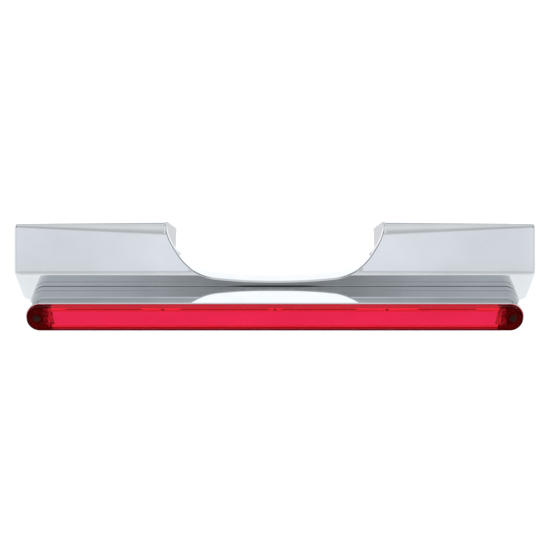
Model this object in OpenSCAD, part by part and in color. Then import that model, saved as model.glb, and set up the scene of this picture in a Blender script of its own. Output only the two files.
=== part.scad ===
// Chrome third brake light: a wing panel with a U cut-out, a slot-shaped lamp housing
// standing out of its lower edge, a sealed red LED light bar, and two mounting brackets.
// Lamp frame, used by all modules: X along the lamp, -Y the way the light shines, Z up,
// origin at the centre of the housing's rim. placed() moves it to the part's own frame,
// whose origin is the centre of the four mounting bolts on the brackets' back faces.
// Cutting shapes run 1 mm or more past the faces that they open.

/* [Light bar] */
// Length of the red lens
lens_length = 438.2; // [436:0.1:444]
// Height of the red lens
lens_height = 22.3; // [22:0.1:24]
// How far the lens stands out of the rim
lens_proud = 4.5; // [3:0.1:6]
// Length of the glowing light guide
guide_length = 394; // [360:1:396]
// Height of the glowing light guide
guide_height = 13.2; // [10:0.1:13.6]
// Distance between the two lens screws
screw_spacing = 421; // [419:0.5:422]
// Number of light-emitting diodes on the board
led_count = 23; // [11:1:31]

/* [Lamp housing] */
// Wall around the lens opening
rim_wall = 1.8; // [1.5:0.1:2.2]
// Distance from the rim to the front of the panel
housing_depth = 45; // [43:0.1:50]
// Rear wall of the housing
housing_back = 2.5; // [2:0.1:4]

/* [Wing panel] */
// Width of the panel at its bend
panel_width = 472.6; // [468:0.1:480]
// Width of the panel at its bottom edge
panel_bottom_width = 456.4; // [450:0.1:462]
// Height of the leaning upper part
wing_height = 47.6; // [45:0.1:50]
// Angle that the upper part leans back
lean = 20; // [16:1:24]
// Height of the bend above the lamp's centre
bend_z = 25.4; // [24:0.1:28]
// Height of the panel's bottom edge above the lamp's centre
bottom_z = 0.2; // [0:0.1:2]
// Thickness of the sheet steel
sheet = 1.6; // [1.2:0.1:2]
// Depth of the hollow wings
box_depth = 50; // [40:1:60]
// Radius of the rolled top edge
roll_r = 5; // [3:0.5:8]

/* [Cut-out] */
// Lowest point of the cut-out above the lamp's centre
cut_floor = 17.9; // [16.5:0.1:19]
// Depth of the flange along the cut-out
flange_depth = 17.6; // [12:0.1:20]
// Width of the cut-out between the wings' inner corners
cut_width = 196.6; // [190:0.1:200]

/* [Brackets] */
// Distance between the left and right mounting holes
bolt_spacing_x = 330; // [310:1:340]
// Distance between the upper and lower mounting holes
bolt_spacing_z = 22; // [20:1:24]
// Diameter of the mounting holes
bolt_hole = 6.6; // [5:0.1:8]

/* [Hidden] */
$fn = 96;

gap = 0.2;                                  // play between parts that slide together
lens_r = lens_height / 2;
end_x = lens_length / 2 - lens_r;           // centres of the lens's round ends
bore_r = lens_r + gap;
housing_r = bore_r + rim_wall;
gasket_t = 1;
gasket_w = 4.5;
gasket_inset = 0.5;
housing_end = housing_depth - gasket_t;     // back of the housing
back_face = housing_end - housing_back;     // front of its rear wall
groove_back = 12.5;                         // decorative groove, in front of the panel
groove_w = 0.8;
groove_d = 0.4;

lens_wall = 2;
lens_back = 6;                              // where the lens meets the light bar's base
base_back = 22;
base_wall = 1.6;
board_front = 13.4;
board_t = 1.6;
board_h = 15;
guide_front = lens_wall - lens_proud + 0.5;
guide_back = 9.5;
guide_crown = 1.2;                          // bulge of the guide's front
guide_z = -0.7;                             // the guide sits a little below the centre
reflector_wall = 1;
led_size = [3.5, 1.9, 2.8];
led_z = 2;                                  // underside of the diodes
resistor = [3.2, 0.7, 1.6];
rectifier = [4.6, 2.2, 3.6];
parts_z = -5;                               // underside of the other components
board_half = guide_length / 2 + 1;
potting_top = 16;                           // front of the potting behind the board
potting_inset = 14;                         // stops short of the screw bosses
seal_t = 1.4;                               // foam between the base and its ledge
ledge_front = base_back + seal_t;
ledge_w = 3;
ledge_t = 2;

screw_x = screw_spacing / 2;
screw_shank_r = 1.6;
screw_head_r = 3.4;
screw_head_h = 2.4;
screw_seat = screw_head_h + gap - lens_proud;   // seat of the screw head in the lens
boss_r = 4.2;
lens_tube_r = 4.8;
insert_r = 2.6;
insert_l = 8;
insert_front = ledge_front + 2;

half_w = panel_width / 2;
bottom_half = panel_bottom_width / 2;
panel_y = housing_depth;
bend_r = 12;
corner_r = 4.6;
top_fall = lean + 5.5;                      // the top wall slopes down towards the back
rear_edge = 30;
bottom_lip = 10;
wall_splay = 8.6;                           // the inner walls turn towards the cut-out
cut_x = cut_width / 2;
floor_r = 500;
floor_angle = 6;
side_r = 49;
side_angle = 57;
side_straight = 7;
shoulder_r = cut_x - (floor_r * sin(floor_angle) - side_r * sin(floor_angle)
  + side_r * sin(side_angle) + side_straight * cos(side_angle));

cable_x = 60;
socket_r = 8;
socket_l = 14;                              // length behind the panel
socket_seal_t = 1.2;
socket_flange_t = 2;
socket_wall = 1.5;
pin_r = 0.8;
lead_r = 0.9;
lead_hole_r = lead_r + 0.1;
lead_pitch = 3.6;
lead_rise = 3.5;                            // height of the slack in the leads
panel_screw_x = [-180, -90, 90, 180];
panel_screw_r = 2;
panel_screw_l = 8.5;
panel_head_r = 4;
panel_head_h = 2.6;
pilot_l = 8;                                // depth of the screws' bosses

bracket_t = 3;
bracket_w = 64;
bracket_x = bolt_spacing_x / 2;
web_top = 42;
flange_low = 2;
foot_u = 3;                                 // foot of the front flange up the leaning face
stud_r = 2.5;
stud_u = 8.5;                               // studs' height up the leaning face
stud_pitch = 40;
stud_l = 12;
washer_t = 1;
nut_h = 4;

mount_y = housing_depth + 65;               // brackets' back faces behind the rim
mount_z = 22;

// ---- helpers ----
function arc(c, r, a0, a1, n) =
  [for (i = [0 : n]) let (a = a0 + (a1 - a0) * i / n) c + r * [cos(a), sin(a)]];
function reversed(p) = [for (i = [len(p) - 1 : -1 : 0]) p[i]];
function mirrored(p) = [for (q = reversed(p)) [-q[0], q[1]]];
function shifted(p, v) = [for (q = p) q + v];

module placed() { translate([0, -mount_y, -mount_z]) children(); }

// Extrudes a shape drawn in X and Z from y0 to y1.
module along_y(y0, y1) {
  translate([0, y1, 0]) rotate([90, 0, 0]) linear_extrude(y1 - y0) children();
}

// Extrudes a shape drawn in Y and Z from x0 to x1.
module along_x(x0, x1) {
  translate([x0, 0, 0]) rotate([90, 0, 90]) linear_extrude(x1 - x0) children();
}

module both_sides() {
  children();
  mirror([1, 0, 0]) children();
}

module slot(r, half) {
  for (s = [-1, 1]) translate([s * half, 0]) circle(r);
  square([2 * half, 2 * r], center = true);
}

module rod(x, z, r, y0, y1, fn = 48) {
  translate([x, y1, z]) rotate([90, 0, 0]) cylinder(r = r, h = y1 - y0, $fn = fn);
}

// ---- wing panel ----
up = [sin(lean), cos(lean)];                // up the leaning face, in Y and Z
inward = [cos(lean), -sin(lean)];           // into the panel, square to that face
bend_c = [panel_y + bend_r, bend_z - bend_r * tan(lean / 2)];
function on_face(u) = [panel_y, bend_z] + u * up;
roll_c = on_face(wing_height - roll_r) + roll_r * inward;
top_dir = [cos(top_fall), -sin(top_fall)];

// Front surface of the panel set back by k, from its bottom edge to the back of the top wall.
function panel_path(k) = concat(
  [[panel_y + k, bottom_z]],
  arc(bend_c, bend_r - k, 180, 180 - lean, 6),
  arc(roll_c, roll_r - k, 180 - lean, 90 - top_fall, 12),
  [roll_c + (roll_r - k) * [sin(top_fall), cos(top_fall)] + (box_depth - roll_r) * top_dir]);
rear_top = roll_c + roll_r * [sin(top_fall), cos(top_fall)] + (box_depth - roll_r) * top_dir;

// Side of a hollow wing: the room between the panel and the wing's rear edge.
module wing_side() {
  polygon(concat(panel_path(0), [rear_top - rear_edge * up, [panel_y + bottom_lip, bottom_z]]));
}

// Edge of the cut-out moved k into the panel, right half, from the middle to above the top.
floor_c = [0, cut_floor + floor_r];
side_c = floor_c + (floor_r - side_r) * [sin(floor_angle), -cos(floor_angle)];
shoulder_c = side_c + side_straight * [cos(side_angle), sin(side_angle)]
  + (side_r - shoulder_r) * [sin(side_angle), -cos(side_angle)];
function cut_edge(k) = concat(
  arc(floor_c, floor_r + k, 270, 270 + floor_angle, 6),
  arc(side_c, side_r + k, 270 + floor_angle, 270 + side_angle, 16),
  arc(shoulder_c, shoulder_r + k, 270 + side_angle, 360, 10),
  [[cut_x + k, 120]]);
module cut_shape(k) { polygon(concat(mirrored(cut_edge(k)), cut_edge(k))); }

// Outline of the panel seen from the front, set back by k at its ends.
top_z = on_face(wing_height)[1];
function outline_right(k) = concat(
  [[bottom_half - k, bottom_z], [half_w - k, bend_z]],
  arc([half_w - corner_r, top_z - corner_r], corner_r - k, 0, 90, 6));
module outline(k) { polygon(concat(outline_right(k), mirrored(outline_right(k)))); }

// Flange that runs level into the panel from the edge of the cut-out.
module cut_flange() {
  face = concat([[panel_y, 0]], arc(bend_c, bend_r, 180, 180 - lean, 6),
    arc(roll_c, roll_r, 180 - lean, 100, 6));
  intersection() {
    along_y(panel_y - 5, panel_y + 60) difference() {
      cut_shape(sheet);
      cut_shape(0);
    }
    along_x(-cut_x - 10, cut_x + 10)
      polygon(concat(face, shifted(reversed(face), [flange_depth, 0])));
    along_x(-cut_x - 10, cut_x + 10) wing_side();
  }
}

module inner_wall() {
  pivot = on_face(wing_height)[0];
  translate([cut_x, pivot, 0]) rotate([0, 0, wall_splay]) translate([0, -pivot, 0])
    along_x(0, sheet) wing_side();
}

module outer_wall() {
  intersection() {
    along_y(panel_y - 5, mount_y) difference() {
      outline(0);
      outline(sheet);
    }
    along_x(half_w - 30, half_w + 1) wing_side();
  }
}

module wing_panel() color("silver") placed() difference() {
  union() {
    difference() {
      intersection() {
        along_x(-half_w, half_w) polygon(concat(panel_path(0), reversed(panel_path(sheet))));
        along_y(panel_y - 5, mount_y) outline(0);
      }
      along_y(panel_y - 10, mount_y + 5) cut_shape(0);
    }
    along_y(panel_y, panel_y + sheet) slot(housing_r, end_x);
    cut_flange();
    both_sides() {
      inner_wall();
      outer_wall();
    }
  }
  rod(cable_x, 0, socket_r, panel_y - 1, panel_y + sheet + 1);
  for (x = panel_screw_x) rod(x, 0, panel_screw_r + gap, panel_y - 1, panel_y + sheet + 1);
}

// ---- lamp housing ----
module lamp_housing() color("silver") placed() difference() {
  union() {
    difference() {
      along_y(0, housing_end) slot(housing_r, end_x);
      along_y(-1, back_face) slot(bore_r, end_x);
    }
    along_y(ledge_front, ledge_front + ledge_t) difference() {
      slot(housing_r - 1, end_x);
      slot(bore_r - ledge_w, end_x);
    }
    for (s = [-1, 1]) rod(s * screw_x, 0, boss_r, ledge_front, housing_end);
    for (x = panel_screw_x) rod(x, 0, boss_r, back_face - pilot_l, housing_end);
  }
  along_y(panel_y - groove_back, panel_y - groove_back + groove_w) difference() {
    slot(housing_r + 1, end_x);
    slot(housing_r - groove_d, end_x);
  }
  rod(cable_x, 0, socket_r, back_face - 1, housing_end + 1);
  for (s = [-1, 1]) rod(s * screw_x, 0, insert_r, ledge_front - 1, insert_front + insert_l);
  for (x = panel_screw_x) rod(x, 0, panel_screw_r, back_face - pilot_l + 2, housing_end + 1);
}

module housing_gasket() color("black") placed() difference() {
  along_y(housing_end, panel_y) slot(housing_r - gasket_inset, end_x);
  along_y(housing_end - 1, panel_y + 1) slot(housing_r - gasket_w, end_x);
}

module pan_screw(head_r, head_h, shank_r, shank_l) {
  rotate([90, 0, 0]) difference() {
    union() {
      translate([0, 0, -shank_l]) cylinder(r = shank_r, h = shank_l + 0.1, $fn = 32);
      rotate_extrude($fn = 64) polygon(concat([[0, 0], [head_r, 0]],
        arc([head_r - 1.2, head_h - 1.2], 1.2, 0, 90, 5), [[0, head_h]]));
    }
    for (a = [0, 90]) rotate([0, 0, a]) translate([0, 0, head_h])
      cube([head_r * 1.1, 0.8, 2.6], center = true);
  }
}

module housing_screws() color("gray") placed() for (x = panel_screw_x)
  translate([x, panel_y + sheet, 0]) rotate([0, 0, 180])
    pan_screw(panel_head_r, panel_head_h, panel_screw_r - 0.05, panel_screw_l);

// ---- light bar ----
// Lens: a clear red tray with its floor to the front and a tube around each screw.
module lens() color([0.8, 0, 0.08, 0.6]) placed() difference() {
  union() {
    difference() {
      along_y(-lens_proud, lens_back) slot(lens_r, end_x);
      along_y(-lens_proud + lens_wall, lens_back + 1) slot(lens_r - lens_wall, end_x);
    }
    for (s = [-1, 1]) rod(s * screw_x, 0, lens_tube_r, -lens_proud, lens_back);
  }
  for (s = [-1, 1]) {
    rod(s * screw_x, 0, screw_head_r + gap, -lens_proud - 1, screw_seat);
    rod(s * screw_x, 0, screw_shank_r + gap, -lens_proud, lens_back + 1);
  }
}

module light_base() color([0.12, 0.12, 0.12]) placed() difference() {
  union() {
    difference() {
      along_y(lens_back, base_back) slot(lens_r, end_x);
      along_y(lens_back - 1, base_back - base_wall) slot(lens_r - base_wall, end_x);
    }
    for (s = [-1, 1]) rod(s * screw_x, 0, boss_r, lens_back, base_back);
  }
  for (s = [-1, 1]) rod(s * screw_x, 0, screw_shank_r + gap, lens_back - 1, base_back + 1);
  for (i = [-1 : 1])
    rod(cable_x + i * lead_pitch, 0, lead_hole_r, base_back - base_wall - 1, base_back + 1, 24);
}

// Light guide: a bar with a gently crowned front.
module light_guide() color([1, 0.25, 0.35]) placed() {
  crown_r = (pow(guide_height / 2, 2) + pow(guide_crown, 2)) / (2 * guide_crown);
  half_angle = asin(guide_height / 2 / crown_r);
  translate([0, 0, guide_z]) along_x(-guide_length / 2, guide_length / 2) polygon(concat(
    arc([guide_front + crown_r, 0], crown_r, 180 + half_angle, 180 - half_angle, 16),
    [[guide_back, guide_height / 2], [guide_back, -guide_height / 2]]));
}

// Reflector: a white channel that holds the guide in front of the board.
module reflector() color("white") placed() translate([0, 0, guide_z]) {
  inner = guide_height / 2 + gap;
  for (s = [-1, 1]) translate([0, 0, s * (inner + reflector_wall / 2)])
    along_x(-board_half, board_half) translate([guide_front + 2, -reflector_wall / 2])
      square([board_front - guide_front - 2, reflector_wall]);
  for (s = [-1, 1]) translate([s * (board_half - reflector_wall / 2), 0, 0])
    along_x(-reflector_wall / 2, reflector_wall / 2) translate([guide_front + 3, -inner])
      square([board_front - guide_front - 3, 2 * inner]);
}

module led_board() color("white") placed() difference() {
  translate([-board_half, board_front, -board_h / 2]) cube([2 * board_half, board_t, board_h]);
  for (i = [-1 : 1])
    rod(cable_x + i * lead_pitch, 0, lead_hole_r, board_front - 1, board_front + board_t + 1, 24);
}

led_step = (guide_length - 20) / (led_count - 1);
module leds() color("lightyellow") placed() for (i = [0 : led_count - 1])
  translate([(i - (led_count - 1) / 2) * led_step - led_size[0] / 2, board_front - led_size[1],
    led_z]) cube(led_size);

// Resistors beside the diodes and one rectifier by the leads.
module board_parts() color([0.15, 0.15, 0.15]) placed() {
  for (i = [0 : led_count - 2])
    translate([(i + 0.5 - (led_count - 1) / 2) * led_step - resistor[0] / 2,
      board_front - resistor[1], parts_z]) cube(resistor);
  translate([cable_x + lead_pitch + rectifier[0], board_front - rectifier[1], parts_z])
    cube(rectifier);
}

module potting() color([0.08, 0.08, 0.1]) placed() difference() {
  along_y(potting_top, base_back - base_wall) slot(lens_r - base_wall, end_x - potting_inset);
  for (i = [-1 : 1])
    rod(cable_x + i * lead_pitch, 0, lead_hole_r, potting_top - 1, base_back, 24);
}

module bar_seal() color("black") placed() difference() {
  along_y(base_back, ledge_front) slot(bore_r - gasket_inset, end_x);
  along_y(base_back - 1, ledge_front + 1) slot(bore_r - ledge_w - 1, end_x);
}

module lens_screws() color("gray") placed() for (s = [-1, 1])
  translate([s * screw_x, screw_seat, 0])
    pan_screw(screw_head_r, screw_head_h, screw_shank_r, insert_front + insert_l - 1 - screw_seat);

module screw_inserts() color("goldenrod") placed() for (s = [-1, 1]) difference() {
  rod(s * screw_x, 0, insert_r, insert_front, insert_front + insert_l);
  rod(s * screw_x, 0, screw_shank_r, insert_front - 1, insert_front + insert_l + 1);
}

// ---- wiring ----
socket_back = panel_y + sheet + socket_l;
socket_flange = panel_y + sheet + socket_seal_t;
socket_floor = socket_flange + socket_flange_t;
module wire_socket() color([0.1, 0.1, 0.1]) placed() difference() {
  union() {
    rod(cable_x, 0, socket_r - gap, back_face - 2, socket_flange);
    rod(cable_x, 0, socket_r + 2.5, socket_flange, socket_floor);
    rod(cable_x, 0, socket_r, socket_floor, socket_back);
  }
  rod(cable_x, 0, socket_r - socket_wall, socket_floor, socket_back + 1);
  for (i = [-1 : 1])
    rod(cable_x + i * lead_pitch, 0, lead_hole_r, back_face - 3, socket_floor + 1, 24);
}

module socket_pins() color("goldenrod") placed() for (i = [-1 : 1])
  rod(cable_x + i * lead_pitch, 0, pin_r, panel_y + 2, socket_back - 3, 24);

module socket_seal() color([0.75, 0.2, 0.1]) placed() difference() {
  rod(cable_x, 0, socket_r + 2, panel_y + sheet, socket_flange);
  rod(cable_x, 0, socket_r - gap, panel_y, socket_flange + 1);
}

// Tube of 8 sides along a slack curve from the board to the socket.
lead_from = board_front + board_t / 2;
lead_to = panel_y + 1.9;
slack_from = base_back + 1;
slack_to = back_face - 3;
function slack(t) = t <= 0 || t >= 1 ? 0 : pow(sin(180 * t), 2);
module lead(i) {
  rings = 24;
  sides = 8;
  ys = concat([lead_from], [for (k = [0 : rings]) slack_from + (slack_to - slack_from) * k / rings],
    [lead_to]);
  n = len(ys);
  pts = [for (y = ys, j = [0 : sides - 1]) let (t = (y - slack_from) / (slack_to - slack_from))
    [cable_x + i * lead_pitch + lead_r * cos(360 * j / sides), y,
      lead_rise * slack(t) + lead_r * sin(360 * j / sides)]];
  sides_faces = [for (k = [0 : n - 2], j = [0 : sides - 1])
    [k * sides + j, k * sides + (j + 1) % sides, (k + 1) * sides + (j + 1) % sides,
      (k + 1) * sides + j]];
  polyhedron(pts, concat([[for (j = [sides - 1 : -1 : 0]) j]], sides_faces,
    [[for (j = [0 : sides - 1]) (n - 1) * sides + j]]), convexity = 4);
}
module lead_stop() color("red") placed() lead(-1);
module lead_tail() color([0.1, 0.1, 0.1]) placed() lead(0);
module lead_ground() color("white") placed() lead(1);

// ---- brackets ----
// A bent steel strip: its front flange lies on the leaning face's back, its web runs back
// under the top wall, and its rear flange stands upright with two mounting holes.
face_back = on_face(0) + sheet * inward;
module bracket_profile() {
  function at_height(p, z) = p + (z - p[1]) / up[1] * up;
  front = face_back + bracket_t * inward;
  polygon([face_back + foot_u * up, at_height(face_back, web_top), [mount_y, web_top],
    [mount_y, flange_low], [mount_y - bracket_t, flange_low],
    [mount_y - bracket_t, web_top - bracket_t], at_height(front, web_top - bracket_t),
    front + foot_u * up]);
}

// Places a fastener drawn along +Z on a weld stud's axis, its foot on the face's back.
module on_studs(side) {
  foot = on_face(stud_u) + sheet * inward;
  for (s = [-1, 1]) translate([side * bracket_x + s * stud_pitch / 2, foot[0], foot[1]])
    rotate([-90 - lean, 0, 0]) children();
}

module bracket(side) {
  difference() {
    along_x(side * bracket_x - bracket_w / 2, side * bracket_x + bracket_w / 2)
      bracket_profile();
    for (s = [-1, 1])
      rod(side * bracket_x, mount_z + s * bolt_spacing_z / 2, bolt_hole / 2, mount_y - 10,
        mount_y + 5);
    on_studs(side) translate([0, 0, -1]) cylinder(r = stud_r + 0.3, h = bracket_t + 2);
  }
}
module left_bracket() color("gray") placed() bracket(-1);
module right_bracket() color("gray") placed() bracket(1);

module ring(r_out, r_in, h) {
  difference() {
    cylinder(r = r_out, h = h);
    translate([0, 0, -1]) cylinder(r = r_in, h = h + 2);
  }
}
module weld_studs() color("gray") placed() for (side = [-1, 1])
  on_studs(side) cylinder(r = stud_r, h = stud_l, $fn = 32);
module stud_washers() color("silver") placed() for (side = [-1, 1])
  on_studs(side) translate([0, 0, bracket_t]) ring(stud_r * 2, stud_r + gap, washer_t);
module stud_nuts() color("silver") placed() for (side = [-1, 1])
  on_studs(side) translate([0, 0, bracket_t + washer_t]) difference() {
    cylinder(r = stud_r * 1.85, h = nut_h, $fn = 6);
    translate([0, 0, -1]) cylinder(r = stud_r, h = nut_h + 2, $fn = 32);
  }

wing_panel();
lamp_housing();
housing_gasket();
housing_screws();
lens();
light_base();
light_guide();
reflector();
led_board();
leds();
board_parts();
potting();
bar_seal();
lens_screws();
screw_inserts();
wire_socket();
socket_pins();
socket_seal();
lead_stop();
lead_tail();
lead_ground();
left_bracket();
right_bracket();
weld_studs();
stud_washers();
stud_nuts();
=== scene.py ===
"""Third brake light: chrome wing panel, chrome lamp housing and a lit red LED light bar."""
import math

import bmesh
import bpy
from mathutils import Matrix, Vector


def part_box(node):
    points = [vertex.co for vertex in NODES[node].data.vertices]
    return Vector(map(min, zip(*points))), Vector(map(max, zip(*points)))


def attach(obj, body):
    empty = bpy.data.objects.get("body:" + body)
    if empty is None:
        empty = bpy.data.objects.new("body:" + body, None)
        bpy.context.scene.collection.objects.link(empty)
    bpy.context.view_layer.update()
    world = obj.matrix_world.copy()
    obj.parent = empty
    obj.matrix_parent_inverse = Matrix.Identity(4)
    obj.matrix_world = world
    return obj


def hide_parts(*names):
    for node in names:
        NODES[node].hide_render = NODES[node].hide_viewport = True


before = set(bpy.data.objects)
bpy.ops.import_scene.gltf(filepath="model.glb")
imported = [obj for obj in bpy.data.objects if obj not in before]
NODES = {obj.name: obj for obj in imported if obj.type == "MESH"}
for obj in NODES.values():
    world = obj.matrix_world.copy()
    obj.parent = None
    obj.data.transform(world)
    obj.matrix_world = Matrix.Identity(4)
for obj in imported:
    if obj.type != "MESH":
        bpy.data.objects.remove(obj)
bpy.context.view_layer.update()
MM = 0.001


# ---- places taken from the frame ----
def corners_of(node):
    """A node's lowest and highest corners, in millimetres."""
    low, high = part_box(node)
    return low / MM, high / MM


housing_low, housing_high = corners_of("lamp_housing")
panel_low, panel_high = corners_of("wing_panel")
guide_low, guide_high = corners_of("light_guide")
screw_low, screw_high = corners_of("lens_screws")
LAMP = Vector((0, housing_low.y, (housing_low.z + housing_high.z) / 2))


def at(x, y, z):
    """A point in millimetres from the centre of the housing's rim, in the frame's metres."""
    return Vector((x, LAMP.y + y, LAMP.z + z)) * MM


RIM_R = (housing_high.z - housing_low.z) / 2
END_X = housing_high.x - RIM_R                      # centres of the round ends
HOUSING_END = housing_high.y - LAMP.y
LENS_TUBE_R = 4.8                                   # of the lens's tubes round its screws
GUIDE_HALF = guide_high.x
GUIDE_R = (guide_high.z - guide_low.z) / 2
SCREW_HEAD_R = (screw_high.z - screw_low.z) / 2
SCREW_X = screw_high.x - SCREW_HEAD_R
PANEL_Y = panel_low.y - LAMP.y                      # the panel's front, below the bend
HALF_W = panel_high.x

# ---- camera ----
ELEVATION = math.radians(19)
DISTANCE = 1580                                     # millimetres to the rim's plane
AIM_UP = 35.0                                       # the optical axis passes above the rim
AIM_RIGHT = 2.3
FOCAL = 115.8
CLIP_START, CLIP_END = 0.01, 50                     # metres


def make_camera():
    """A camera in front of the lamp that looks down at it."""
    forward = Vector((0, math.cos(ELEVATION), -math.sin(ELEVATION)))
    up = Vector((0, math.sin(ELEVATION), math.cos(ELEVATION)))
    data = bpy.data.cameras.new("camera")
    data.lens = FOCAL
    data.clip_start, data.clip_end = CLIP_START, CLIP_END
    camera = bpy.data.objects.new("camera", data)
    camera.location = at(AIM_RIGHT, 0, 0) - forward * DISTANCE * MM + up * AIM_UP * MM
    camera.rotation_mode = "QUATERNION"
    camera.rotation_quaternion = forward.to_track_quat("-Z", "Y")
    bpy.context.scene.collection.objects.link(camera)
    bpy.context.scene.camera = camera


make_camera()


# ---- mesh helpers ----
def new_piece(name, bm, material, slot, *nodes):
    """Turns a bmesh into a piece of the object that rides on the one body."""
    mesh = bpy.data.meshes.new(name)
    bm.to_mesh(mesh)
    bm.free()
    mesh.shade_smooth()
    piece = bpy.data.objects.new(name, mesh)
    bpy.context.scene.collection.objects.link(piece)
    piece.data.materials.append(material)
    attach(piece, "root")
    if nodes:
        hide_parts(*nodes)
    return piece


def soften(piece, width, segments=3, angle=32):
    """Rounds the sharp edges and keeps the flat faces flat."""
    bevel = piece.modifiers.new("edges", "BEVEL")
    bevel.width = width * MM
    bevel.segments = segments
    bevel.limit_method = "ANGLE"
    bevel.angle_limit = math.radians(angle)
    bevel.use_clamp_overlap = True
    bevel.harden_normals = True
    weighted = piece.modifiers.new("flat faces", "WEIGHTED_NORMAL")
    weighted.weight = 100
    weighted.keep_sharp = True


def thicken(piece, thickness):
    """Gives a surface its sheet thickness, on the side away from its normals."""
    solid = piece.modifiers.new("sheet", "SOLIDIFY")
    solid.thickness = thickness * MM
    solid.offset = -1
    solid.use_even_offset = True


def arc(centre, radius, start, end, count):
    """Points on an arc, in degrees, as (a, b) pairs."""
    points = []
    for i in range(count + 1):
        angle = math.radians(start + (end - start) * i / count)
        points.append((centre[0] + radius * math.cos(angle), centre[1] + radius * math.sin(angle)))
    return points


def quarter_turn(steps):
    """The angles from 0 to a right angle in equal steps, in radians."""
    return [math.radians(90 * i / steps) for i in range(steps + 1)]


def slot_ring(radius, half, steps=32):
    """A slot's outline in X and Z, counted anticlockwise from the lower right."""
    right = arc((half, 0), radius, -90, 90, steps)
    left = arc((-half, 0), radius, 90, 270, steps)
    return right + left


def lathe_slot(profile, half, steps=32):
    """Sweeps (radius, depth) points round a slot and closes both ends."""
    bm = bmesh.new()
    rings = [[bm.verts.new(at(x, y, z)) for x, z in slot_ring(radius, half, steps)]
             for radius, y in profile]
    for a, b in zip(rings, rings[1:]):
        for i in range(len(a)):
            j = (i + 1) % len(a)
            bm.faces.new((a[i], a[j], b[j], b[i]))
    bm.faces.new(rings[0][::-1])
    bm.faces.new(rings[-1])
    bmesh.ops.recalc_face_normals(bm, faces=bm.faces[:])
    return bm


# ---- materials ----
def new_material(name):
    """A material with its node tree and its Principled shader."""
    material = bpy.data.materials.new(name)
    material.use_nodes = True
    tree = material.node_tree
    return material, tree, tree.nodes["Principled BSDF"]


def noise(tree, scale, detail=4.0, stretch=(1, 1, 1)):
    """Noise fixed to the object, its scale counted per metre."""
    place = tree.nodes.new("ShaderNodeTexCoord")
    mapping = tree.nodes.new("ShaderNodeMapping")
    mapping.inputs["Scale"].default_value = stretch
    texture = tree.nodes.new("ShaderNodeTexNoise")
    texture.inputs["Scale"].default_value = scale
    texture.inputs["Detail"].default_value = detail
    tree.links.new(place.outputs["Object"], mapping.inputs["Vector"])
    tree.links.new(mapping.outputs["Vector"], texture.inputs["Vector"])
    return texture.outputs["Fac"]


def ramp(tree, source, stops):
    """A colour ramp from (position, colour) stops."""
    node = tree.nodes.new("ShaderNodeValToRGB")
    elements = node.color_ramp.elements
    while len(elements) < len(stops):
        elements.new(0.5)
    for element, (position, colour) in zip(elements, stops):
        element.position = position
        element.color = (*colour, 1)
    tree.links.new(source, node.inputs["Fac"])
    return node.outputs["Color"]


def two_tone(tree, source, dark, light):
    """A noise pattern's two colours, with a soft change between them."""
    return ramp(tree, source, [(0.3, dark), (0.7, light)])


def math_node(tree, operation, a, b=None):
    """A Math node whose inputs are numbers or sockets."""
    node = tree.nodes.new("ShaderNodeMath")
    node.operation = operation
    for socket, value in zip(node.inputs, (a, b)):
        if isinstance(value, (int, float)):
            socket.default_value = value
        elif value is not None:
            tree.links.new(value, socket)
    return node.outputs["Value"]


def mix_colours(tree, factor, first, second, blend="MIX"):
    """Mixes two colours by a factor, or in full where there is none."""
    node = tree.nodes.new("ShaderNodeMix")
    node.data_type = "RGBA"
    node.blend_type = blend
    node.inputs["Factor"].default_value = 1.0
    if factor is not None:
        tree.links.new(factor, node.inputs["Factor"])
    for socket, value in ((node.inputs[6], first), (node.inputs[7], second)):
        if isinstance(value, tuple):
            socket.default_value = (*value, 1)
        else:
            tree.links.new(value, socket)
    return node.outputs[2]


def spread(tree, source, low, high, start=0.0, end=1.0):
    """Maps the range from start to end onto the range from low to high."""
    node = tree.nodes.new("ShaderNodeMapRange")
    node.inputs["From Min"].default_value = start
    node.inputs["From Max"].default_value = end
    node.inputs["To Min"].default_value = low
    node.inputs["To Max"].default_value = high
    tree.links.new(source, node.inputs["Value"])
    return node.outputs["Result"]


def blend_range(tree, source, low, high):
    """A smooth change from 0 at low to 1 at high."""
    node = tree.nodes.new("ShaderNodeMapRange")
    node.interpolation_type = "SMOOTHSTEP"
    node.inputs["From Min"].default_value = low
    node.inputs["From Max"].default_value = high
    tree.links.new(source, node.inputs["Value"])
    return node.outputs["Result"]


def split_axes(tree, coordinates="Object"):
    """The X, Y and Z sockets of a texture coordinate."""
    place = tree.nodes.new("ShaderNodeTexCoord")
    split = tree.nodes.new("ShaderNodeSeparateXYZ")
    tree.links.new(place.outputs[coordinates], split.inputs["Vector"])
    return split.outputs


def bump(tree, shader, source, strength, distance):
    """Bump from a pattern, its distance in millimetres."""
    node = tree.nodes.new("ShaderNodeBump")
    node.inputs["Strength"].default_value = strength
    node.inputs["Distance"].default_value = distance * MM
    tree.links.new(source, node.inputs["Height"])
    tree.links.new(node.outputs["Normal"], shader.inputs["Normal"])


def surface(name, dark, light, rough, metal=0.0, scale=300, bump_mm=0.0, stretch=(1, 1, 1)):
    """A Principled material whose colour and roughness vary a little over the surface."""
    material, tree, shader = new_material(name)
    pattern = noise(tree, scale, stretch=stretch)
    tree.links.new(two_tone(tree, pattern, dark, light), shader.inputs["Base Color"])
    tree.links.new(spread(tree, pattern, *rough), shader.inputs["Roughness"])
    shader.inputs["Metallic"].default_value = metal
    if bump_mm:
        bump(tree, shader, pattern, 0.5, bump_mm)
    return material


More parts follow.
